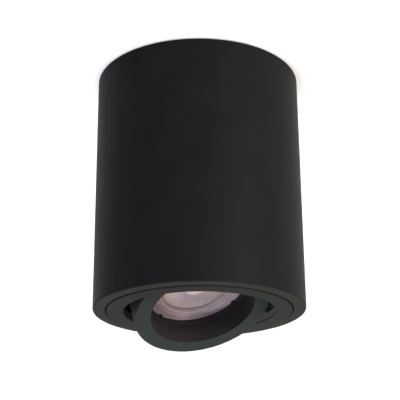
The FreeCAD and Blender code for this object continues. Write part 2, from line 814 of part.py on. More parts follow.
def lamp_reflector():
    """A metallised cup, deep and round, with a flat flange behind the lens."""
    low = lamp_h(lamp_cover_set_back + lamp_cover_thickness)
    high = low + reflector_depth
    mouth = reflector_mouth_diameter / 2
    throat = reflector_throat_diameter / 2
    flange = lamp_mouth_diameter / 2 - loose_clearance
    flange_back = low + reflector_wall
    chord = (Vector(throat, 0, high) - Vector(mouth, 0, low)).normalize()
    outward = Vector(chord.z, 0, -chord.x)
    bulge = Vector((mouth + throat) / 2, 0, (low + high) / 2) + outward * reflector_bulge
    outer_mouth = Vector(mouth + reflector_wall, 0, flange_back)
    outer_throat = Vector(throat + reflector_wall, 0, high)
    edges = [Part.Arc(Vector(mouth, 0, low), bulge, Vector(throat, 0, high)).toShape(),
             Part.LineSegment(Vector(throat, 0, high), outer_throat).toShape(),
             Part.Arc(outer_throat, bulge + outward * reflector_wall, outer_mouth).toShape()]
    rim = [outer_mouth, Vector(flange, 0, flange_back), Vector(flange, 0, low), Vector(mouth, 0, low)]
    edges += [Part.LineSegment(a, b).toShape() for a, b in zip(rim, rim[1:])]
    return revolve_edges(edges)


def led_board():
    """The aluminium board that carries the light source."""
    return cyl(led_board_diameter / 2, led_board_thickness, Vector(0, 0, led_board_low))


def led_chip():
    """The round phosphor field at the bottom of the cup."""
    return cyl(led_diameter / 2, led_height, Vector(0, 0, led_board_low - led_height))


def lamp_base():
    """The moulded base that plugs the neck and carries the two pins."""
    radius = base_diameter / 2 - lamp_wall
    collar = lamp_neck_diameter / 2
    joint = lamp_h(lamp_taper_end)
    end = lamp_h(lamp_length)
    base = revolve([
        (radius - base_wall, joint - base_spigot), (radius, joint - base_spigot), (radius, joint),
        (collar, joint), (collar, joint + base_collar), (base_diameter / 2, joint + base_collar),
        (base_diameter / 2, end), (0, end), (0, end - base_end_wall),
        (radius - base_wall, end - base_end_wall),
    ])
    base = base.makeFillet(1.0, edges_at(base, end, base_diameter / 2))
    for side in (-1, 1):
        base = base.cut(cyl(pin_neck_diameter / 2 + press_clearance, 4,
                            Vector(side * pin_spacing / 2, 0, end - base_end_wall - 1)))
    return base


def driver_board():
    """The circuit board that stands in the lamp's neck."""
    low = lamp_h(lamp_taper_end - driver_in_taper)
    high = lamp_h(lamp_length - base_end_wall - pin_root / 2)
    half = driver_width / 2
    return box(-half, half, -driver_board_thickness / 2, driver_board_thickness / 2, low, high)


def driver_components():
    """A capacitor, a coil and a chip on the board."""
    face = driver_board_thickness / 2
    low = lamp_h(lamp_taper_end - driver_in_taper + 2.0)
    capacitor = cyl(capacitor_diameter / 2, 9.0, Vector(-3.6, face + capacitor_diameter / 2, low))
    coil = box(1.2, 7.2, face, face + 5.0, low, low + 6.0)
    chip = box(-3.0, 2.0, -face - 1.6, -face, low + 4.0, low + 9.0)
    return [capacitor, coil, chip]


def lamp_pins():
    """Two brass pins with wide heads, which twist into the holder."""
    end = lamp_h(lamp_length)
    pins = []
    for side in (-1, 1):
        x = side * pin_spacing / 2
        neck = cyl(pin_neck_diameter / 2, pin_neck_length + pin_root, Vector(x, 0, end - pin_root))
        head = cyl(pin_head_diameter / 2, pin_head_length, Vector(x, 0, end + pin_neck_length))
        top = end + pin_neck_length + pin_head_length
        head = head.makeFillet(0.5, edges_at(head, top, pin_head_diameter / 2))
        pins.append(neck.fuse(head).removeSplitter())
    return pins


# ---- Lamp holder --------------------------------------------------------------------------------------

def lampholder():
    """The ceramic body: two keyhole slots for the pins, with a pocket for a contact behind each."""
    low = lamp_base_from_pivot
    body = slot(holder_length, holder_width, 0, low, low + holder_height)
    slot_half = pin_neck_diameter / 2 + holder_slot_clearance
    middle = pin_spacing / 2
    pocket_outer = middle + pin_head_diameter / 2 + holder_pocket_past_pin
    for side in (0, 180):
        pocket = sector(holder_pocket_inner, pocket_outer, holder_pocket_start, holder_pocket_sweep,
                        low + holder_front_wall, low + holder_height + 1)
        arc = sector(middle - slot_half, middle + slot_half, 0.0, holder_twist, low - 1, low + holder_height)
        entry = cyl(pin_head_diameter / 2 + holder_slot_clearance, holder_height, Vector(middle, 0, low - 1))
        entry.rotate(ORIGIN, Z, holder_twist)
        cuts = pocket.fuse([arc, entry, cyl(slot_half, holder_height, Vector(middle, 0, low - 1))])
        body = body.cut(turned(cuts, side))
    for side in (-1, 1):
        start = Vector(side * holder_screw_x, 0, low - 1)
        body = body.cut(cyl(holder_screw_diameter / 2 + press_clearance, holder_height + 2, start))
    return body


def lead_exits():
    """Where the two leads leave the holder's back, in the lamp ring's own frame."""
    return [(-lead_spacing / 2, lead_exit_offset), (lead_spacing / 2, -lead_exit_offset)]


def lampholder_back():
    """The ceramic plate that closes the pockets, with a hole for each lead."""
    low = lamp_base_from_pivot + holder_height
    plate = slot(holder_length, holder_width, 0, low, low + holder_back)
    for side in (-1, 1):
        start = Vector(side * holder_screw_x, 0, low - 1)
        plate = plate.cut(cyl(holder_screw_diameter / 2 + screw_clearance, holder_back + 2, start))
    for x, y in lead_exits():
        plate = plate.cut(cyl(lead_diameter / 2 + loose_clearance, holder_back + 2, Vector(x, y, low - 1)))
    return plate


def lampholder_screws():
    low = lamp_base_from_pivot + holder_height
    return [screw(holder_screw_diameter, holder_screw_bite + holder_back, holder_screw_head,
                  holder_screw_head_height, Vector(side * holder_screw_x, 0, low + holder_back), Z)
            for side in (-1, 1)]


def lampholder_contacts():
    """A springy brass strip beside each pin head, fixed under the back plate."""
    low = lamp_base_from_pivot + holder_height
    inner = pin_spacing / 2 + pin_head_diameter / 2 + running_clearance
    depth = holder_height - holder_front_wall - 1.0
    contact = box(inner, inner + contact_gauge, -contact_width / 2, contact_width / 2, low - depth, low)
    foot = box(inner - 2.0, inner + contact_gauge, -contact_width / 2, contact_width / 2,
               low - contact_gauge, low)
    strip = contact.fuse(foot).removeSplitter()
    return [turned(strip, side) for side in (0, 180)]


# ---- Leads --------------------------------------------------------------------------------------------

def clip_height():
    return collar_top_z + lead_clip_gauge + lead_diameter / 2 + loose_clearance


def clip_radii():
    """How far from the axis the two leads cross the clip."""
    return [collar_outer_r - 2.0, collar_outer_r - 2.0 + lead_spacing]


def lead_clip():
    """A steel strap on the collar's top that holds both leads in its loop."""
    inner, outer = clip_radii()
    half = lead_clip_width / 2
    reach = lead_diameter / 2 + loose_clearance
    low = collar_top_z
    high = clip_height() + reach
    x0, x1 = -outer - reach, -inner + reach
    gauge = lead_clip_gauge
    strap = box(x0 - gauge, x1 + gauge, -half, half, low, high + gauge)
    strap = strap.cut(box(x0, x1, -half - 1, half + 1, low + gauge, high))
    tongue_x = clip_tongue_x()
    tongue = box(tongue_x, tongue_x + gauge, -half, half, low - lead_clip_tongue, low + gauge)
    bridge = box(*sorted((x1, tongue_x + gauge)), -half, half, low, low + gauge)
    strap = strap.fuse([tongue, bridge]).removeSplitter()
    return strap.cut(clip_screw_hole())


def clip_tongue_x():
    """The flat tongue's outer face: its edges lie against the collar's round inner wall."""
    return -math.sqrt(collar_inner_r ** 2 - (lead_clip_width / 2) ** 2) + running_clearance


def clip_screw_z():
    return collar_top_z - lead_clip_tongue / 2


def clip_screw_hole():
    start = Vector(-collar_outer_r - 1, 0, clip_screw_z())
    return cyl(clip_screw_diameter / 2 + press_clearance, 8, start, X)


def lead_clip_screw():
    """A small screw from inside through the clip's tongue into the collar."""
    base = Vector(clip_tongue_x() + lead_clip_gauge, 0, clip_screw_z())
    return screw(clip_screw_diameter, base.x + collar_outer_r - 2 * loose_clearance, clip_screw_head,
                 clip_screw_head_height, base, X)


def upper_lead(index, name):
    """From the terminal block, down beside the wall, and round into the clip."""
    x = -clip_radii()[index]
    y = pole_positions()[index]
    side = -lead_drop_offset
    points = [
        Vector(-terminal_center - clamp_length / 2, y, wire_z),
        Vector(x, y + (side - y) * 0.4, wire_z),
        Vector(x, side, wire_z - 40),
        Vector(x, side, clip_height()),
        Vector(x, 0, clip_height()),
    ]
    return lead(points, [lead_bend, 60.0, lead_bend], name)


def lower_lead(index, name):
    """From the clip, up beside the lamp, over and down into the back of the holder."""
    x = -clip_radii()[index]
    exit_x, exit_y = lead_exits()[index]
    above = head_point(exit_x, exit_y, holder_back_from_pivot + 12.0)
    side = lead_drop_offset
    points = [
        Vector(x, 0, clip_height()),
        Vector(x, side, clip_height()),
        Vector(x + 1.0, side + 2, -70 + index * 3),
        Vector(x + 4.0, side + 10, above.z + 1.5),
        above,
        head_point(exit_x, exit_y, holder_back_from_pivot - holder_back),
    ]
    return lead(points, [lead_bend, 40.0, 9.0, lead_bend], name)


def earth_lead():
    """From the block's third pole, round to the ring tag."""
    start_x = -terminal_center - clamp_length / 2
    turn_x = start_x - 9.0
    pole = pole_positions()[2]
    barrel = earth_barrel_start()
    points = [
        Vector(start_x, pole, wire_z),
        Vector(turn_x, pole, wire_z),
        Vector(turn_x, barrel.y, barrel.z),
        barrel + X * (earth_barrel_length - 1),
    ]
    return lead(points, [7.0, 7.0], "earth_lead")


# ---- Building and writing -----------------------------------------------------------------------------

def write(name, shapes, place=None):
    """Writes one node: a solid, or a group of like solids."""
    group = shapes if isinstance(shapes, list) else [shapes]
    placed = [place(s) if place else s for s in group]
    solids = [solid for shape in placed for solid in shape.Solids]
    for solid in solids:
        if not solid.isValid():
            raise ValueError(name + " has a solid that isn't valid")
    whole = solids[0] if len(solids) == 1 else Part.makeCompound(solids)
    whole.exportStep(os.path.join("parts", name + ".step"))
    print(name, len(solids), "solid(s), volume", round(sum(s.Volume for s in solids), 1))


os.makedirs("parts", exist_ok=True)

write("ceiling_bracket", ceiling_bracket())
write("housing", housing())
write("housing_screws", housing_screws())
write("cable_grommet", cable_grommet())
write("swivel_stop_pin", stop_pin(), in_fixture)

write("terminal_block", terminal_block(), in_fixture)
write("terminal_clamps", terminal_clamps(), in_fixture)
write("terminal_screws", terminal_screws(), in_fixture)
write("terminal_block_screw", terminal_block_screw(), in_fixture)
write("earth_screw", earth_screw(), in_fixture)
write("earth_washer", earth_washer(), in_fixture)
write("earth_ring_tag", earth_ring_tag(), in_fixture)
write("earth_lead", earth_lead(), in_fixture)

write("front_plate", front_plate(), in_fixture)
write("leaf_springs", leaf_springs(), in_fixture)
write("spring_rivets", spring_rivets(), in_fixture)
raise_to_pivot = Vector(0, 0, pivot_z)
write("friction_washers", [moved(s, raise_to_pivot) for s in friction_washers()], in_fixture)
write("disc_springs", [moved(s, raise_to_pivot) for s in disc_springs()], in_fixture)
write("lead_clip", lead_clip(), in_fixture)
write("lead_clip_screw", lead_clip_screw(), in_fixture)

write("gimbal_ring", gimbal_ring(), in_head)
write("pivot_screws", pivot_screws(), in_head)
write("lamp_clip", lamp_clip(), in_head)
write("lamp_body", lamp_body(), in_head)
write("lamp_cover", lamp_cover(), in_head)
write("lamp_reflector", lamp_reflector(), in_head)
write("led_board", led_board(), in_head)
write("led_chip", led_chip(), in_head)
write("lamp_base", lamp_base(), in_head)
write("driver_board", driver_board(), in_head)
write("driver_components", driver_components(), in_head)
write("lamp_pins", lamp_pins(), in_head)
write("lampholder", lampholder(), in_head)
write("lampholder_back", lampholder_back(), in_head)
write("lampholder_screws", lampholder_screws(), in_head)
write("lampholder_contacts", lampholder_contacts(), in_head)

for index, wire in enumerate(("live_lead", "neutral_lead")):
    for name, route in ((wire + "_upper", upper_lead), (wire + "_lower", lower_lead)):
        write(name, route(index, name), in_fixture)
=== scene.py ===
"""Looks of a black surface mounted ceiling spotlight, section by section in the order it is put together.

Metres, +Z up, the ceiling plane at z = 0. Sizes in the sections are in millimetres, scaled as they are used.
"""
import json
import math

import bmesh
import bpy
import numpy as np
from mathutils import Matrix


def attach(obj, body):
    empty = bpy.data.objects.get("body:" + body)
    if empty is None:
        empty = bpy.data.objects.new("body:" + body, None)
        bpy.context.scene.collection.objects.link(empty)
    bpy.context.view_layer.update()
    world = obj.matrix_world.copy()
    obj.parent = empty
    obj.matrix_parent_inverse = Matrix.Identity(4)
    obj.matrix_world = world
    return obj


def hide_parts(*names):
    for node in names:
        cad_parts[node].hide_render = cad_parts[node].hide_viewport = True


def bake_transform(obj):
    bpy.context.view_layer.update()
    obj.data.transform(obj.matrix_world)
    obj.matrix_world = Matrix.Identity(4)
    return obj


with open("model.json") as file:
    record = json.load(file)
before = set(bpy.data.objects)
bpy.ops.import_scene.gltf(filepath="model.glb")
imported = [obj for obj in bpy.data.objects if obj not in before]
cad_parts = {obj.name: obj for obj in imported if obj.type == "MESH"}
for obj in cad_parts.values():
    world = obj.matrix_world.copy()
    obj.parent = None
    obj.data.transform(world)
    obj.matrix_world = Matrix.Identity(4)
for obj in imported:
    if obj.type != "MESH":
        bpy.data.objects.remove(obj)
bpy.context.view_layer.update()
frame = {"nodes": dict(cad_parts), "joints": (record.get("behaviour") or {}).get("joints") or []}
MM = 0.001


# ---- Camera -------------------------------------------------------------------------------------------
# The photograph's view: from below the light, close to straight in front of it, through a long lens.
# Fitted to the tube's outline. Pitch looks up, yaw turns to the right and roll tips the picture.

frame_pixels = 400
focal_pixels = 1072.3
sensor_width = 36.0
camera_place = np.array([-0.72, -478.78, -242.08]) * MM
pitch, yaw, roll = np.radians([20.81, 0.168, -0.475])

forward = np.array([math.sin(yaw) * math.cos(pitch), math.cos(yaw) * math.cos(pitch), math.sin(pitch)])
level = np.array([math.cos(yaw), -math.sin(yaw), 0.0])
over = np.cross(level, forward)
camera_pose = np.eye(4)
camera_pose[:3, 0] = math.cos(roll) * level + math.sin(roll) * over
camera_pose[:3, 1] = math.cos(roll) * over - math.sin(roll) * level
camera_pose[:3, 2] = -forward
camera_pose[:3, 3] = camera_place
view = bpy.data.cameras.new("photo_view")
view.sensor_width = sensor_width
view.lens = sensor_width * focal_pixels / frame_pixels
camera = bpy.data.objects.new("photo_view", view)
camera.matrix_world = Matrix(camera_pose.tolist())
bpy.context.scene.collection.objects.link(camera)
bpy.context.scene.camera = camera


# ---- Ceiling and light --------------------------------------------------------------------------------
# A plain white painted ceiling, which shows only from below, in a pale studio. It is white to the eye and
# keeps the light's soft shadow. Two lamps edge the tube from the sides, one far below lights the faces that
# look down, and a small warm one, low on the right, reaches into the reflector.

ceiling_half = 6.0                    # metres
ceiling_gap = 0.4 * MM
glow_near, glow_far = 0.24, 0.72      # the glow that keeps the ceiling white, near the light and far from it
glow_start, glow_end = 1.0, 4.0       # the distances it changes between, in metres
studio_level = 0.42                   # how strongly the pale studio lights the pieces
bpy.context.scene.view_settings.view_transform = "Standard"


def linear(hex_colour):
    """An sRGB hex colour as linear red, green, blue and alpha."""
    srgb = np.array([int(hex_colour[i:i + 2], 16) for i in (1, 3, 5)]) / 255
    rgb = np.where(srgb <= 0.04045, srgb / 12.92, ((srgb + 0.055) / 1.055) ** 2.4)
    return (*rgb.tolist(), 1.0)


def add(tree, kind, feeds=None, **settings):
    """Adds one node with its settings. feeds gives an input socket its value, or the socket that it reads."""
    node = tree.nodes.new(kind)
    for name, value in settings.items():
        setattr(node, name, value)
    for socket, value in (feeds or {}).items():
        if isinstance(value, bpy.types.NodeSocket):
            tree.links.new(value, node.inputs[socket])
        else:
            node.inputs[socket].default_value = value
    return node


def seen_rays(tree):
    """1 for rays that show the background: the camera's, and those that gloss or glass send on."""
    path = add(tree, "ShaderNodeLightPath").outputs
    seen = add(tree, "ShaderNodeMath", {0: path["Is Camera Ray"], 1: path["Is Glossy Ray"]},
               operation="MAXIMUM")
    return add(tree, "ShaderNodeMath", {0: seen.outputs[0], 1: path["Is Transmission Ray"]},
               operation="MAXIMUM").outputs[0]


paint = bpy.data.materials.new("white_ceiling_paint")
paint.use_nodes = True
tree = paint.node_tree
tree.nodes.clear()
matt = add(tree, "ShaderNodeBsdfDiffuse", {"Color": linear("#f2f2f1")})
distance = add(tree, "ShaderNodeVectorMath", {0: add(tree, "ShaderNodeTexCoord").outputs["Object"]},
               operation="LENGTH")
glow_here = add(tree, "ShaderNodeMapRange", {"Value": distance.outputs["Value"], "From Min": glow_start,
                                             "From Max": glow_end, "To Min": glow_near, "To Max": glow_far})
glow_level = add(tree, "ShaderNodeMath", {0: seen_rays(tree), 1: glow_here.outputs[0]}, operation="MULTIPLY")
glow = add(tree, "ShaderNodeEmission", {"Color": linear("#ffffff"), "Strength": glow_level.outputs[0]})
white = add(tree, "ShaderNodeAddShader", {0: matt.outputs[0], 1: glow.outputs[0]})
clear = add(tree, "ShaderNodeBsdfTransparent")
from_above = add(tree, "ShaderNodeNewGeometry").outputs["Backfacing"]
either = add(tree, "ShaderNodeMixShader", {0: from_above, 1: white.outputs[0], 2: clear.outputs[0]})
add(tree, "ShaderNodeOutputMaterial", {"Surface": either.outputs[0]})

ceiling_mesh = bpy.data.meshes.new("ceiling")
ceiling_mesh.from_pydata([(x * ceiling_half, y * ceiling_half, ceiling_gap)
                          for x, y in ((-1, -1), (-1, 1), (1, 1), (1, -1))], [], [(0, 1, 2, 3)])
ceiling_mesh.materials.append(paint)
ceiling = bpy.data.objects.new("ceiling", ceiling_mesh)
bpy.context.scene.collection.objects.link(ceiling)

world = bpy.data.worlds.new("pale_studio")
bpy.context.scene.world = world
world.use_nodes = True
tree = world.node_tree
tree.nodes.clear()
strength = add(tree, "ShaderNodeMapRange", {"Value": seen_rays(tree), "To Min": studio_level, "To Max": 1.0})
sky = add(tree, "ShaderNodeBackground", {"Color": linear("#ffffff"), "Strength": strength.outputs[0]})
add(tree, "ShaderNodeOutputWorld", {"Surface": sky.outputs[0]})

lamps = {                     # place in metres, width, power in watts, colour
    "right_softbox": ((0.85, -0.85, -0.11), 0.26, 18.5, "#fff8f0"),
    "left_softbox": ((-0.55, -0.75, -0.95), 0.25, 6.5, "#e6ecff"),
    "low_softbox": ((-0.050, 0.020, -4.0), 0.3, 66.0, "#ffffff"),
    "beam_softbox": ((0.92, -0.12, -0.66), 0.16, 4.6, "#ffe8d6"),
}
lamp_aim = np.array([0.0, 0.0, -0.07])
for name, (place, width, power, colour) in lamps.items():
    softbox = bpy.data.lights.new(name, "AREA")
    softbox.size = width
    softbox.energy = power
    softbox.color = linear(colour)[:3]
    stand_in = bpy.data.objects.new(name, softbox)
    back = np.array(place) - lamp_aim
    side = np.cross([0.0, 0.0, 1.0], back)
    axes = np.stack([side, np.cross(back, side), back], 1)
    pose = np.eye(4)
    pose[:3, :3] = axes / np.linalg.norm(axes, axis=0)
    pose[:3, 3] = place
    stand_in.matrix_world = Matrix(pose.tolist())
    bpy.context.scene.collection.objects.link(stand_in)


# ---- Ceiling bracket ----------------------------------------------------------------------------------
# A strap of galvanised steel, blanked and bent, with two slots for the ceiling screws. Zinc leaves a
# faint crystal pattern and fine lines from rolling.

def surface(name, colour, roughness, metallic=0.0, **sockets):
    """A material with one principled shader. Returns it with its tree, shader and object coordinates."""
    made = bpy.data.materials.new(name)
    made.use_nodes = True
    tree = made.node_tree
    shader = tree.nodes["Principled BSDF"]
    shader.inputs["Base Color"].default_value = linear(colour)
    shader.inputs["Roughness"].default_value = roughness
    shader.inputs["Metallic"].default_value = metallic
    for socket, value in sockets.items():
        shader.inputs[socket.replace("_", " ")].default_value = value
    made.diffuse_color = linear(colour)
    return made, tree, shader, add(tree, "ShaderNodeTexCoord").outputs["Object"]


def uneven(tree, shader, place, size_mm, colours, roughness, relief_mm, stretch=(1, 1, 1)):
    """Colour, roughness and relief that follow one noise, whose lumps are size_mm across.

    Most of the noise lies between 0.3 and 0.7, so that span runs from one colour or roughness to the other.
    """
    drawn = add(tree, "ShaderNodeMapping", {"Vector": place, "Scale": stretch})
    noise = add(tree, "ShaderNodeTexNoise", {"Vector": drawn.outputs[0], "Scale": 1 / (size_mm * MM),
                                             "Detail": 3.0}).outputs["Fac"]
    span = {"Value": noise, "From Min": 0.3, "From Max": 0.7}
    if colours:
        between = add(tree, "ShaderNodeMapRange", span)
        tint = add(tree, "ShaderNodeMix", {0: between.outputs[0], 6: linear(colours[0]),
                                           7: linear(colours[1])}, data_type="RGBA")
        tree.links.new(tint.outputs[2], shader.inputs["Base Color"])
    rough = add(tree, "ShaderNodeMapRange", span | {"To Min": roughness[0], "To Max": roughness[1]})
    tree.links.new(rough.outputs[0], shader.inputs["Roughness"])
    if relief_mm:
        bump = add(tree, "ShaderNodeBump", {"Height": noise, "Distance": relief_mm * MM, "Strength": 1.0})
        tree.links.new(bump.outputs[0], shader.inputs["Normal"])


def dress(material, *nodes):
    """Gives CAD nodes their finish."""
    for name in nodes:
        node = frame["nodes"][name]
        if not node.material_slots:
            node.data.materials.append(material)
        for slot in node.material_slots:
            slot.material = material


galvanised, tree, shader, place = surface("galvanised_steel", "#a9abac", 0.42, 1.0)
uneven(tree, shader, place, 2.5, ("#9b9d9f", "#b7b9ba"), (0.34, 0.52), 0.01, (0.35, 1, 1))
dress(galvanised, "ceiling_bracket")


# ---- Screws, springs and rivets -----------------------------------------------------------------------
# Cold-headed screws and rivets with bright zinc plating, and springs of blue-grey rolled strip and drawn
# wire. Plating is smooth with a soft bloom; strip shows fine lines along its length.

zinc, tree, shader, place = surface("bright_zinc_plating", "#b9bbb6", 0.3, 1.0)
uneven(tree, shader, place, 0.6, ("#adb0ab", "#c3c5c0"), (0.24, 0.38), 0.004)
dress(zinc, "housing_screws", "swivel_stop_pin", "terminal_screws", "terminal_block_screw", "earth_screw",
      "spring_rivets", "lead_clip_screw", "pivot_screws", "lampholder_screws")

strip, tree, shader, place = surface("rolled_spring_steel", "#8f9193", 0.33, 1.0)
uneven(tree, shader, place, 0.5, ("#85878a", "#9c9d9e"), (0.26, 0.42), 0.005, (1, 1, 0.15))
dress(strip, "earth_washer", "leaf_springs", "disc_springs", "lead_clip", "lamp_clip")


# ---- Housing ------------------------------------------------------------------------------------------
# A pressure die-cast aluminium tube with its recessed top plate in one piece, coated with matt black
# polyester powder, which melts into a very fine orange peel and rounds the edges. The flat end is painted a
# little greener and paler than the sides, painted light for what it catches from below, and inside a pale
# grey coat paints light into hollows and slits that would be in deep shade.

tube_radius, tube_height, tube_wall = 49.0, 115.0, 2.2
top_recess, top_plate = 7.0, 2.2
bay_radius, ledge_radius = 43.2, 41.2
bay_ceiling, ledge_top = -111.4, -109.3
cable_hole_radius = 5.5
end_face_depth, wall_margin = 0.15, 0.1
steps_around = 192


def rounded(corners, steps=4):
    """A closed outline of (radius, height, rounding) corners, each rounded corner as an arc of equal steps.

    A point just beyond each end of an arc holds the face beside it flat under smooth shading.
    """
    points = []
    for i, (x, z, rounding) in enumerate(corners):
        tip = np.array([x, z])
        ways = np.array([corners[i - 1][:2], corners[(i + 1) % len(corners)][:2]]) - tip
        back, on = ways / np.linalg.norm(ways, axis=1)[:, None]
        half = math.acos(np.clip(back @ on, -1, 1)) / 2
        reach = rounding / math.tan(half)
        centre = tip + (back + on) / np.linalg.norm(back + on) * rounding / math.sin(half)
        start, end = tip + back * reach - centre, tip + on * reach - centre
        turn = math.pi - 2 * half
        t = np.linspace(0, 1, steps + 1)[:, None]
        arc = (np.sin((1 - t) * turn) * start + np.sin(t * turn) * end) / math.sin(turn)
        hold = reach + 0.4 * rounding
        points += [tip + back * hold, *(centre + arc), tip + on * hold]
    return np.array(points)


def swung(outline, around=steps_around, closed=True, relief=None, waves=0):
    """A surface of revolution: outline point i swung about Z by j of `around` equal steps.

    relief holds one length for each outline point, which is added to the radius as a raised cosine, with
    `waves` crests round the turn.
    """
    angle = np.linspace(0, 2 * math.pi, around, endpoint=False)[None, :]
    radius = outline[:, :1] + np.zeros_like(angle)
    if relief is not None:
        radius = radius + relief[:, None] * (1 + np.cos(waves * angle)) / 2
    height = outline[:, 1:] + np.zeros_like(angle)
    points = np.stack([radius * np.cos(angle), radius * np.sin(angle), height], -1).reshape(-1, 3)
    return points, grid_faces(len(outline), around, closed)


def grid_faces(rows, columns, closed_rows):
    """Four-sided faces of a grid of points, whose columns run full circle, and whose rows do if asked."""
    i = np.arange(rows if closed_rows else rows - 1)[:, None]
    j = np.arange(columns)[None, :]
    i_next, j_next = (i + 1) % rows, (j + 1) % columns
    return np.stack([i * columns + j, i * columns + j_next, i_next * columns + j_next,
                     i_next * columns + j], -1).reshape(-1, 4).tolist()


def new_piece(name, shells, material, place=None):
    """One piece from closed shells, each (points in mm, faces), put in place by a 4x4 matrix in mm."""
    points, faces, first = [], [], 0
    for shell_points, shell_faces in shells:
        points.append(shell_points)
        faces += [[first + k for k in face] for face in shell_faces]
        first += len(shell_points)
    points = np.concatenate(points)
    if place is not None:
        points = points @ place[:3, :3].T + place[:3, 3]
    mesh = bpy.data.meshes.new(name)
    mesh.from_pydata((points * MM).tolist(), [], faces)
    draft = bmesh.new()
    draft.from_mesh(mesh)
    bmesh.ops.remove_doubles(draft, verts=draft.verts, dist=1e-7)
    bmesh.ops.recalc_face_normals(draft, faces=draft.faces)
    draft.to_mesh(mesh)
    draft.free()
    mesh.polygons.foreach_set("use_smooth", np.ones(len(mesh.polygons), bool))
    mesh.set_sharp_from_angle(angle=math.radians(35))
    mesh.materials.append(material)
    piece = bpy.data.objects.new(name, mesh)
    bpy.context.scene.collection.objects.link(piece)
    return piece


def powder_coat(name, colours, roughness, specular):
    """Matt polyester powder: an even coat whose fine orange peel scatters what it reflects.

    The real peel is about 0.3 mm across; it is drawn at 0.9 mm so that it shows at all.
    """
    cloud_mm, peel_mm, grain_mm, relief_mm = 14.0, 0.9, 0.25, 0.012
    coat, tree, shader, place = surface(name, colours[0], roughness, Specular_IOR_Level=specular)
    uneven(tree, shader, place, cloud_mm, colours, (roughness - 0.03, roughness + 0.03), 0)
    peel = add(tree, "ShaderNodeTexNoise", {"Vector": place, "Scale": 1 / (peel_mm * MM), "Detail": 2.0})
    grain = add(tree, "ShaderNodeTexNoise", {"Vector": place, "Scale": 1 / (grain_mm * MM), "Detail": 1.0})
    both = add(tree, "ShaderNodeMath", {0: peel.outputs["Fac"], 1: grain.outputs["Fac"]}, operation="ADD")
    bump = add(tree, "ShaderNodeBump", {"Height": both.outputs[0], "Distance": relief_mm * MM,
                                        "Strength": 1.0})
    tree.links.new(bump.outputs[0], shader.inputs["Normal"])
    return coat


def recoat(piece, material, chosen, place=np.eye(4)):
    """Gives a piece one more material, on the faces whose middles `chosen` picks by radius and height in mm.

    place is the matrix that the piece was put in place by, so that both are measured in its own frame.
    """
    middles = np.empty(3 * len(piece.data.polygons))
    piece.data.polygons.foreach_get("center", middles)
    own = (middles.reshape(-1, 3) / MM - place[:3, 3]) @ place[:3, :3]
    slots = np.empty(len(own), np.int32)
    piece.data.polygons.foreach_get("material_index", slots)
    slots[chosen(np.hypot(own[:, 0], own[:, 1]), own[:, 2])] = len(piece.data.materials)
    piece.data.materials.append(material)
    piece.data.polygons.foreach_set("material_index", slots)


black_coat = powder_coat("matt_black_powder_coat", ("#0f0f12", "#131316"), 0.54, 0.04)
# The end face's coat is painted paler than the sides: painted light from below.
end_face_painted_light_coat = powder_coat("black_coat_end_face_painted_lighter", ("#212320", "#262823"), 0.6, 0.04)
# A pale grey coat for the inside: painted light in the hollows and slits.
inside_painted_light_coat = powder_coat("grey_inside_coat_painted_light", ("#605c58", "#6a6662"), 0.6, 0.04)
tube = new_piece("housing_tube", [swung(rounded([
    (tube_radius, -tube_height, 0.8), (tube_radius, 0.0, 0.4), (tube_radius - tube_wall, 0.0, 0.3),
    (tube_radius - tube_wall, -top_recess, 0.8), (cable_hole_radius, -top_recess, 0.15),
    (cable_hole_radius, -top_recess - top_plate, 0.15),
    (tube_radius - tube_wall, -top_recess - top_plate, 1.2),
    (tube_radius - tube_wall, ledge_top, 0.3), (ledge_radius, ledge_top, 0.3),
    (ledge_radius, bay_ceiling, 0.2), (bay_radius, bay_ceiling, 0.3), (bay_radius, -tube_height, 0.4),
]))], black_coat)
recoat(tube, end_face_painted_light_coat, lambda radius, height: height < end_face_depth - tube_height)
recoat(tube, inside_painted_light_coat, lambda radius, height: (radius < tube_radius - tube_wall + wall_margin)
       & (height > bay_ceiling) & (height < -top_recess - top_plate + wall_margin))
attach(tube, "fixture")
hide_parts("housing")


# ---- Cable grommet ------------------------------------------------------------------------------------
# The bush that guards the supply cable where it passes the top plate, snapped into its hole. Soft black
# rubber, compression moulded: dull, with the faint bloom that rubber gets.

rubber, tree, shader, place = surface("black_rubber", "#1a1a1a", 0.75, Specular_IOR_Level=0.3)
uneven(tree, shader, place, 1.2, ("#161616", "#202020"), (0.68, 0.85), 0.02)
dress(rubber, "cable_grommet")


# ---- Terminal block and earth point -------------------------------------------------------------------
# A cream polyamide block with brass clamps, and a tinned copper ring tag. Moulded plastic is satin;
# turned brass shows fine rings and a warm, slightly uneven tarnish.

cream, tree, shader, place = surface("cream_polyamide", "#d9d4c4", 0.48)
uneven(tree, shader, place, 1.5, ("#d3cebe", "#dfdacb"), (0.42, 0.55), 0.01)
dress(cream, "terminal_block")

brass, tree, shader, place = surface("turned_brass", "#c9a45c", 0.3, 1.0)
uneven(tree, shader, place, 0.8, ("#bb9650", "#d4b06a"), (0.24, 0.4), 0.004)
dress(brass, "terminal_clamps", "lamp_pins", "lampholder_contacts")

tinned, tree, shader, place = surface("tinned_copper", "#b8b6ad", 0.35, 1.0)
uneven(tree, shader, place, 0.7, ("#aeaca3", "#c4c2ba"), (0.28, 0.45), 0.005)
dress(tinned, "earth_ring_tag")


# ---- Front plate --------------------------------------------------------------------------------------
# A die-cast disc that turns in the tube's mouth: a flat face, a round opening, a collar inside, a boss at
# each pivot and a block that meets the stop pin. Coated like the tube, but its face is painted a paler
# black, painted light for what it catches, and its back and most of the wall of its opening take the pale
# grey inside coat, painted light in the slit.

plate_radius, opening_radius = 42.75, 34.9
plate_face, plate_back = -115.4, -111.7
rebate_radius, rebate_depth = 41.3, 1.3
collar_outer, collar_inner, collar_top = 40.4, 38.6, -99.0
boss_radius, boss_bore, boss_start, boss_end = 4.6, 2.05, 33.3, 39.9
stop_block_width, stop_block_outer, stop_block_inner = 5.2, 42.55, 40.8
sunk, rim_band, face_band = 0.4, 1.0, 0.6

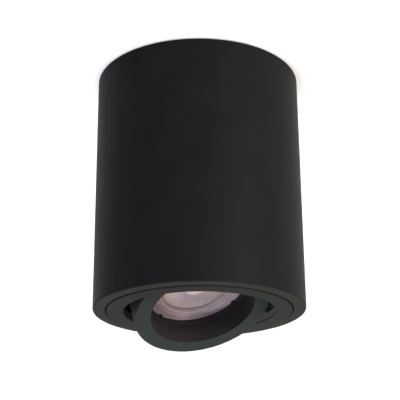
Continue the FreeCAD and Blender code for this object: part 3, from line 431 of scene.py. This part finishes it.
tilt_joint = next(joint for joint in frame["joints"] if joint["name"] == "lamp_tilt")
pivot_height = tilt_joint["pos_m"][2] / MM
lamp_azimuth = math.degrees(math.atan2(tilt_joint["axis"][1], tilt_joint["axis"][0]))
lamp_tilt = 25.0


def turning(angle, axis):
    """A 4x4 turn by an angle in degrees about X, Y or Z, as numpy."""
    return np.array(Matrix.Rotation(math.radians(angle), 4, axis))


def shifted(x, y, z):
    """A 4x4 shift in mm."""
    move = np.eye(4)
    move[:3, 3] = (x, y, z)
    return move


def placed(shell, matrix):
    """A shell moved by a 4x4 matrix."""
    points, faces = shell
    return points @ matrix[:3, :3].T + matrix[:3, 3], faces


def block(low, high, rounding=0.3, steps=4):
    """A box with round edges: a small ball whose eight parts are pushed out to the box's corners."""
    low, high = np.array(low, float), np.array(high, float)
    quarter = np.linspace(0, math.pi / 2, steps + 1)
    across = np.concatenate([quarter, quarter + math.pi / 2, quarter + math.pi, quarter + 1.5 * math.pi])
    side = np.repeat(np.arange(4), steps + 1)
    sign_x, sign_y = np.array([1, -1, -1, 1])[side], np.array([1, 1, -1, -1])[side]
    down = np.concatenate([quarter, quarter + math.pi / 2])
    sign_z = np.repeat([1, -1], steps + 1)
    ball = np.stack([np.sin(down)[:, None] * np.cos(across), np.sin(down)[:, None] * np.sin(across),
                     np.cos(down)[:, None] + 0 * across], -1)
    signs = np.stack([np.broadcast_to(sign_x, ball.shape[:2]), np.broadcast_to(sign_y, ball.shape[:2]),
                      np.broadcast_to(sign_z[:, None], ball.shape[:2])], -1)
    points = (low + high) / 2 + signs * ((high - low) / 2 - rounding) + rounding * ball
    rows, columns = ball.shape[:2]
    faces = grid_faces(rows, columns, False)
    faces += [list(range(columns)), list(range((rows - 1) * columns, rows * columns))]
    return points.reshape(-1, 3), faces


turned_to_lamp = turning(lamp_azimuth, "Z")
# A paler black than the tube's: painted light on the face.
plate_painted_light_coat = powder_coat("black_coat_plate_painted_lighter", ("#1d1e1b", "#22231f"), 0.6, 0.04)
shells = [swung(rounded([
    (opening_radius, plate_face, 0.4), (plate_radius, plate_face, 0.4),
    (plate_radius, plate_back - rebate_depth, 0.2), (rebate_radius, plate_back - rebate_depth, 0.2),
    (rebate_radius, plate_back, 0.2), (collar_outer, plate_back, 0.2), (collar_outer, collar_top, 0.3),
    (collar_inner, collar_top, 0.3), (collar_inner, plate_back, 0.6), (opening_radius, plate_back, 0.3),
]))]
boss_outline = rounded([(boss_bore, boss_start, 0.2), (boss_radius, boss_start, 0.4),
                        (boss_radius, boss_end, 0.2), (boss_bore, boss_end, 0.2)])
for quarter_turn in (90.0, -90.0):
    shells.append(placed(swung(boss_outline, 64), shifted(0, 0, pivot_height) @ turning(quarter_turn, "Y")))
for x_low, x_high in ((boss_start, boss_end - sunk), (-boss_end + sunk, -boss_start)):
    shells.append(block((x_low, -boss_radius, plate_back - sunk),
                        (x_high, boss_radius, pivot_height - boss_bore)))
shells.append(block((-stop_block_width / 2, -stop_block_outer, plate_back - rebate_depth - 0.3),
                    (stop_block_width / 2, -stop_block_inner, plate_back)))
plate = new_piece("front_plate_casting", shells, plate_painted_light_coat, turned_to_lamp)
# The back and the opening's wall take the pale grey inside coat: painted light in the slit.
recoat(plate, inside_painted_light_coat, lambda radius, height: (radius < plate_radius - rim_band)
       & (height > plate_face + face_band), turned_to_lamp)
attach(plate, "swivel_plate")
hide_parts("front_plate")

nylon, tree, shader, place = surface("natural_nylon", "#dcd8c8", 0.5)
uneven(tree, shader, place, 1.0, ("#d6d2c2", "#e2decf"), (0.44, 0.58), 0.006)
dress(nylon, "friction_washers")


# ---- Lamp ring ----------------------------------------------------------------------------------------
# The die-cast ring that holds the lamp and tilts: a broad flat face, a deep smooth inside wall, and at its
# end a thin lip with four small tabs that the lamp's rim rests on. Matt black powder, drawn paler than the
# tube: the face in a cool grey and the sides and bore in a warmer grey, painted light for what the face
# catches and for light in the bore.

ring_radius, ring_bore, ring_face = 31.9, 24.5, -7.8
ring_back, ring_wall, seat_radius, seat_wall = 14.09, 2.0, 25.4, 2.2
channel_floor = ring_face + 2.4
lip_radius, lip_thickness, lamp_face = 23.0, 1.2, 4.5
groove_low, groove_high, groove_radius = 7.8, 9.2, 26.0
tab_width, tab_reach, tab_angles = 1.6, 0.8, (10.5, 110.5, 190.5, 290.5)
pad_half, pad_top, pad_inset = 4.6, 5.0, 0.6
lug_half, lug_reach, lug_thickness = 4.0, 35.69, 1.2
root = 1.0                            # how far lugs and tabs reach into the ring

tilted = shifted(0, 0, pivot_height) @ turning(-lamp_tilt, "X")
to_head = turned_to_lamp @ tilted
# A paler, cooler black than the tube's: painted light on the face.
ring_face_painted_light_coat = powder_coat("black_coat_ring_face_painted_cool_light", ("#212726", "#252a29"), 0.6, 0.07)
shells = [swung(rounded([
    (ring_bore, ring_face, 0.4), (ring_radius, ring_face, 0.5), (ring_radius, ring_back, 0.4),
    (ring_radius - ring_wall, ring_back, 0.4), (ring_radius - ring_wall, channel_floor, 0.6),
    (seat_radius + seat_wall, channel_floor, 0.6), (seat_radius + seat_wall, ring_back, 0.4),
    (seat_radius, ring_back, 0.4), (seat_radius, groove_high, 0.1), (groove_radius, groove_high, 0.1),
    (groove_radius, groove_low, 0.1), (seat_radius, groove_low, 0.1), (seat_radius, lamp_face, 0.1),
    (lip_radius, lamp_face, 0.15), (lip_radius, lamp_face - lip_thickness, 0.3),
    (ring_bore, lamp_face - lip_thickness, 0.5),
]))]
for sign in (1, -1):
    x_low, x_high = sorted((sign * (ring_bore + pad_inset), sign * (ring_radius - pad_inset)))
    shells.append(block((x_low, -pad_half, ring_face + pad_inset), (x_high, pad_half, pad_top)))
    y_low, y_high = sorted((sign * (ring_radius - root), sign * lug_reach))
    shells.append(block((-lug_half, y_low, ring_back - lug_thickness), (lug_half, y_high, ring_back)))
for angle in tab_angles:
    tab = block((lip_radius - tab_reach, -tab_width / 2, lamp_face - lip_thickness),
                (lip_radius + root, tab_width / 2, lamp_face), 0.15)
    shells.append(placed(tab, turning(angle, "Z")))
ring = new_piece("lamp_ring_casting", shells, ring_face_painted_light_coat, to_head)
# A paler, warmer black than the tube's: painted light in the bore.
bore_painted_light_coat = powder_coat("black_coat_bore_painted_light", ("#201e1f", "#252324"), 0.6, 0.07)
recoat(ring, bore_painted_light_coat, lambda radius, height: height > ring_face + 0.3, to_head)
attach(ring, "lamp_head")
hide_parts("gimbal_ring")


# ---- Lamp body ----------------------------------------------------------------------------------------
# The reflector lamp's injection moulded bowl: a rim with a ridge and a groove round the lens, then a fluted
# waist down to the neck. A warm grey-pink thermoplastic with a soft sheen, the same on the base that plugs
# the neck.

lamp_radius, rim_thickness, rim_back = 25.0, 3.2, 2.8
bowl_radius, bowl_wall, neck_radius, neck_depth = 24.0, 1.3, 14.0, 29.0
waist_bulge, waist_points = 1.8, 22
mouth_radius, mouth_front, mouth_back = 18.25, 1.4, 2.4
window_radius, ridge_start, ridge_end, ridge_top = 16.0, 16.9, 17.9, 0.1
rim_groove_start, rim_groove_end, rim_groove_depth = 18.7, 19.1, 1.0
rim_flat_start, rim_flat_depth, rim_edge_depth = 19.8, 0.05, 0.02
flutes, flute_depth, flute_ends = 30, 0.5, 3
corner_points = 7                     # how many points rounded() gives each corner


def bowed(start, end, bulge, points):
    """A straight line from start to end, bowed out by a half sine of bulge, and the direction it bows in."""
    chord = np.subtract(end, start)
    out = np.array([chord[1], -chord[0]]) / np.linalg.norm(chord)
    t = np.linspace(0, 1, points)[:, None]
    return start + t * chord + np.sin(math.pi * t) * bulge * out, out


rim = rounded([
    (mouth_radius, mouth_back, 0.2), (mouth_radius, mouth_front, 0.1), (window_radius, mouth_front, 0.05),
    (ridge_start, ridge_top, 0.2), (ridge_end, ridge_top, 0.25), (rim_groove_start, rim_groove_depth, 0.1),
    (rim_groove_end, rim_groove_depth, 0.1), (rim_flat_start, rim_flat_depth, 0.2),
    (lamp_radius, rim_edge_depth, 0.5), (lamp_radius, rim_thickness, 0.4),
    (bowl_radius, rim_thickness, 0.3),
])[:1 - corner_points]
outer, _ = bowed((bowl_radius, rim_thickness), (neck_radius, neck_depth), waist_bulge, waist_points)
inner, _ = bowed((bowl_radius - bowl_wall, rim_thickness), (neck_radius - bowl_wall, neck_depth),
                 waist_bulge, waist_points)
inside = np.array([[bowl_radius - bowl_wall, rim_back], [mouth_radius, rim_back]])
bowl_outline = np.concatenate([rim, outer[1:], inner[:0:-1], inside])
bowl_relief = np.zeros(len(bowl_outline))
t = np.linspace(0, 1, waist_points)[1:]
bowl_relief[len(rim):len(rim) + len(t)] = -flute_depth * np.clip(np.sin(math.pi * t) * flute_ends, 0, 1)
bowl_outline[:, 1] += lamp_face
bowl_plastic, tree, shader, place = surface("warm_grey_thermoplastic", "#887a7e", 0.45)
uneven(tree, shader, place, 5.0, ("#827478", "#8f8084"), (0.4, 0.5), 0.01)
bowl = new_piece("lamp_bowl", [swung(bowl_outline, 360, True, bowl_relief, flutes)], bowl_plastic, to_head)
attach(bowl, "lamp_head")
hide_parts("lamp_body")
dress(bowl_plastic, "lamp_base")


# ---- Lens ---------------------------------------------------------------------------------------------
# A thin disc of clear polycarbonate, injection moulded and brightly polished, with a shallow groove near
# its edge. A low, pale, half-clear spot in its middle, a little proud, is a painted light: it stands for
# the bright spot of light at the lens's centre.

lens_radius, lens_depth, lens_back, lens_edge = 18.2, 1.45, 1.8, 0.1
lens_ring, lens_ring_half, lens_ring_depth = 15.5, 0.2, 0.12

lens_outline = np.array([
    [0.0, lens_back], [lens_radius - lens_edge, lens_back], [lens_radius, lens_back - lens_edge],
    [lens_radius, lens_depth + lens_edge], [lens_radius - lens_edge, lens_depth],
    [lens_ring + 2 * lens_ring_half, lens_depth], [lens_ring + lens_ring_half, lens_depth + lens_ring_depth],
    [lens_ring - lens_ring_half, lens_depth + lens_ring_depth], [lens_ring - 2 * lens_ring_half, lens_depth],
    [0.0, lens_depth],
])
lens_outline[:, 1] += lamp_face
polycarbonate, tree, shader, place = surface("clear_polycarbonate", "#e2d2cf", 0.14, Alpha=0.14)
uneven(tree, shader, place, 6.0, ("#dccbc8", "#e6d8d5"), (0.1, 0.18), 0)
lens_disc = new_piece("lamp_lens", [swung(lens_outline, steps_around, False)], polycarbonate, to_head)
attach(lens_disc, "lamp_head")
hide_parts("lamp_cover")

spot_radius, spot_rise, spot_sunk = 5.6, 0.6, 0.05
t = np.linspace(0, math.pi / 2, 14)
spot_outline = np.concatenate([
    [[0.0, lens_depth + spot_sunk], [spot_radius, lens_depth + spot_sunk]],
    np.stack([spot_radius * np.cos(t), lens_depth - spot_rise * np.sin(t)], 1)])
spot_outline[:, 1] += lamp_face
# A pale, half-clear patch: painted light for the bright spot at the lens's centre.
painted_light_spot_plastic, tree, shader, place = surface("polycarbonate_painted_light_spot", "#d4bcb0", 0.6, Alpha=0.4)
uneven(tree, shader, place, 1.0, ("#d8c0b2", "#e4ccbe"), (0.54, 0.66), 0.01)
lens_light_spot = new_piece("lens_painted_light_spot", [swung(spot_outline, 96, False)], painted_light_spot_plastic, to_head)
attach(lens_light_spot, "lamp_head")


# ---- Reflector cup ------------------------------------------------------------------------------------
# A plastic cup, bright from vacuum metallising, with a flat flange behind the lens. Its colour holds
# painted reflections: across the cup from left to right it runs from pale rose through blue-grey to brown,
# with a single pale tint near the mouth and full strength deeper in.

cup_mouth, cup_throat, cup_depth, cup_wall, cup_bulge = 15.7, 4.5, 12.0, 0.6, 1.4
cup_rows = 48
flange_radius, flange_thickness, flange_edge = 18.1, 0.7, 0.1
gutter_outer, gutter_floor, gutter_inner, gutter_depth = 16.2, 16.1, 15.8, 0.8
# Painted reflections: tints across the cup from left to right, and a pale one near the mouth.
painted_reflection_tints = ((0.0, "#ccb8a4"), (0.13, "#e0cecb"), (0.31, "#8e8cac"), (0.6, "#8c7675"), (1.0, "#8c7c78"))
mouth_reflection_tint = "#b09e96"
reflection_half_width = 18.0 * MM                                # the tints run across the cup, from left to right
reflection_start, reflection_full = -108.6 * MM, -104.5 * MM     # heights where the painted reflections begin and are at their strongest

cup_inside, out = bowed((cup_mouth, lens_back), (cup_throat, lens_back + cup_depth), cup_bulge, cup_rows)
cup_outside = (cup_inside + cup_wall * out)[::-1]
flange_outline = np.array([
    [flange_radius - flange_edge, flange_thickness], [flange_radius, flange_thickness - flange_edge],
    [flange_radius, flange_edge], [flange_radius - flange_edge, 0.0],
    [gutter_outer, 0.0], [gutter_floor, gutter_depth], [gutter_inner, gutter_depth],
])
flange_outline[:, 1] += lens_back
behind_flange = cup_outside[:, 1] > lens_back + gutter_depth + 0.1
cup_outline = np.concatenate([cup_inside, cup_outside[behind_flange], flange_outline])
cup_outline[:, 1] += lamp_face
metallised, tree, shader, place = surface("metallised_reflector", "#9a8a86", 0.38, 0.35)
uneven(tree, shader, place, 6.0, None, (0.34, 0.42), 0)
reflection_ramp = add(tree, "ShaderNodeValToRGB")
reflection_ramp.color_ramp.elements[0].color = linear(painted_reflection_tints[0][1])
reflection_ramp.color_ramp.elements[1].color = linear(painted_reflection_tints[-1][1])
for share, colour in painted_reflection_tints[1:-1]:
    reflection_ramp.color_ramp.elements.new(share).color = linear(colour)
split = add(tree, "ShaderNodeSeparateXYZ", {0: place}).outputs
sideways = add(tree, "ShaderNodeMapRange", {"Value": split["X"], "From Min": -reflection_half_width,
                                            "From Max": reflection_half_width})
inwards = add(tree, "ShaderNodeMapRange", {"Value": split["Z"], "From Min": reflection_start,
                                           "From Max": reflection_full})
tree.links.new(sideways.outputs[0], reflection_ramp.inputs[0])
tint = add(tree, "ShaderNodeMix", {0: inwards.outputs[0], 6: linear(mouth_reflection_tint), 7: reflection_ramp.outputs[0]},
           data_type="RGBA")
tree.links.new(tint.outputs[2], shader.inputs["Base Color"])
cup = new_piece("reflector_cup", [swung(cup_outline, 320)], metallised, to_head)
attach(cup, "lamp_head")
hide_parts("lamp_reflector")


# ---- Light source -------------------------------------------------------------------------------------
# A round field of warm yellow phosphor in silicone on a white aluminium board, faintly alight, and the
# little circuit board with its parts behind it in the lamp's neck.

emitter_radius, emitter_height, emitter_depth = 3.6, 0.8, 13.9
emitter_top = lamp_face + emitter_depth
dome = np.linspace(0, math.pi / 2, 10)
emitter_outline = np.concatenate([
    np.stack([emitter_radius * np.sin(dome), emitter_top - emitter_height * np.cos(dome)], 1),
    [[emitter_radius, emitter_top], [0.0, emitter_top]]])
phosphor, tree, shader, place = surface("warm_phosphor", "#f0d7a8", 0.35, Emission_Strength=1.6)
shader.inputs["Emission Color"].default_value = linear("#ffd9b8")
uneven(tree, shader, place, 0.8, ("#ecd09a", "#f6e2ba"), (0.3, 0.42), 0.01)
emitter = new_piece("light_field", [swung(emitter_outline, 96, False)], phosphor, to_head)
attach(emitter, "lamp_head")
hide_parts("led_chip")

solder_mask, tree, shader, place = surface("white_solder_mask", "#e4e4e0", 0.4)
uneven(tree, shader, place, 2.0, ("#dededa", "#eaeae7"), (0.34, 0.48), 0.005)
dress(solder_mask, "led_board")

laminate, tree, shader, place = surface("green_circuit_laminate", "#2c5a38", 0.35)
uneven(tree, shader, place, 0.6, ("#274f31", "#336541"), (0.3, 0.42), 0.005)
dress(laminate, "driver_board")

moulding, tree, shader, place = surface("black_component_epoxy", "#1e1e20", 0.5)
uneven(tree, shader, place, 0.5, ("#1a1a1c", "#242426"), (0.44, 0.58), 0.006)
dress(moulding, "driver_components")


# ---- Lamp holder --------------------------------------------------------------------------------------
# Two blocks screwed together round the contacts that grip the lamp's pins. Unglazed steatite, pressed dry
# and fired: off-white, matt, with a fine sandy grain.

steatite, tree, shader, place = surface("unglazed_steatite", "#dcd5c6", 0.72)
uneven(tree, shader, place, 0.5, ("#d5cebe", "#e3ddd0"), (0.66, 0.8), 0.02)
dress(steatite, "lampholder", "lampholder_back")


# ---- Leads --------------------------------------------------------------------------------------------
# Limp silicone-insulated wires: brown and blue from the terminal block down to the clip and on to the
# lamp holder, and a green and yellow one to the earth tag. Silicone is satin and slightly dusty.

lead_radius = 1.1
clip_height = collar_top + 2.0
clip_place = (-38.4, -41.4)
lead_side, lead_drop, lead_rise = 9.6, 40.0, 12.0
wire_height, wire_start, pole_spacing = -17.2, -26.0, 8.6
lamp_length, holder_height, holder_back = 44.0, 10.0, 2.6
holder_top = lamp_face + lamp_length + holder_height
holder_exits = ((-1.5, 3.4), (1.5, -3.4))
wires = {"live": ("#53301c", "#5e3a24"), "neutral": ("#1f4a8c", "#2a589c")}


def in_head(x, y, h):
    """A point of the lamp ring's own frame, in the frame turned to the lamp, in mm."""
    return (tilted @ (x, y, h, 1.0))[:3]


def lead(name, route, material):
    """A round wire along a quadratic B-spline whose control points are the route's, made a mesh."""
    curve = bpy.data.curves.new(name, "CURVE")
    curve.dimensions = "3D"
    curve.bevel_depth = lead_radius * MM
    curve.bevel_resolution = 5
    curve.use_fill_caps = True
    spline = curve.splines.new("NURBS")
    spline.points.add(len(route) - 1)
    for point, spot in zip(spline.points, route):
        point.co = (*(turned_to_lamp[:3, :3] @ np.array(spot) * MM), 1.0)
    spline.order_u = 3
    spline.use_endpoint_u = True
    spline.resolution_u = 16
    drawn = bpy.data.objects.new(name + "_line", curve)
    bpy.context.scene.collection.objects.link(drawn)
    mesh = bpy.data.meshes.new_from_object(drawn.evaluated_get(bpy.context.evaluated_depsgraph_get()))
    bpy.data.objects.remove(drawn)
    mesh.materials.clear()
    mesh.materials.append(material)
    mesh.polygons.foreach_set("use_smooth", np.ones(len(mesh.polygons), bool))
    piece = bpy.data.objects.new(name, mesh)
    bpy.context.scene.collection.objects.link(piece)
    return piece


# The bends between the ends are placed clear of the springs, the tube's wall and the tilting lamp.
for index, (wire, colours) in enumerate(wires.items()):
    silicone, tree, shader, place = surface(wire + "_silicone", colours[0], 0.5)
    uneven(tree, shader, place, 1.0, colours, (0.44, 0.6), 0.008)
    x, y = clip_place[index], (index - 1) * pole_spacing
    exit_x, exit_y = holder_exits[index]
    above = in_head(exit_x, exit_y, holder_top + holder_back + lead_rise)
    leaving = in_head(exit_x, exit_y, holder_top)
    upper = lead(wire + "_wire_to_clip", [
        (wire_start, y, wire_height), (x, y - (lead_side + y) * 0.4, wire_height),
        (x, -lead_side, wire_height - lead_drop), (x, -lead_side, clip_height), (x, 0.0, clip_height),
    ], silicone)
    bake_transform(upper)
    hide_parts(wire + "_lead_upper")
    lower = lead(wire + "_wire_to_holder", [
        (x, 0.0, clip_height), (x, lead_side, clip_height), (x + 1.0, lead_side + 2, -70.0 + index * 3),
        (x + 4.0, lead_side + 10, above[2] + 1.5), above, leaving,
    ], silicone)
    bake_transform(lower)
    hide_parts(wire + "_lead_lower")

striped, tree, shader, place = surface("green_yellow_insulation", "#5d8a1e", 0.5)
bands = add(tree, "ShaderNodeTexWave", {"Vector": place, "Scale": 1 / (22 * MM), "Distortion": 0.0},
            bands_direction="DIAGONAL")
half = add(tree, "ShaderNodeMath", {0: bands.outputs["Fac"], 1: 0.5}, operation="GREATER_THAN")
tint = add(tree, "ShaderNodeMix", {0: half.outputs[0], 6: linear("#2f7a2c"), 7: linear("#d6c21e")},
           data_type="RGBA")
tree.links.new(tint.outputs[2], shader.inputs["Base Color"])
uneven(tree, shader, place, 1.0, None, (0.44, 0.6), 0.008)
dress(striped, "earth_lead")
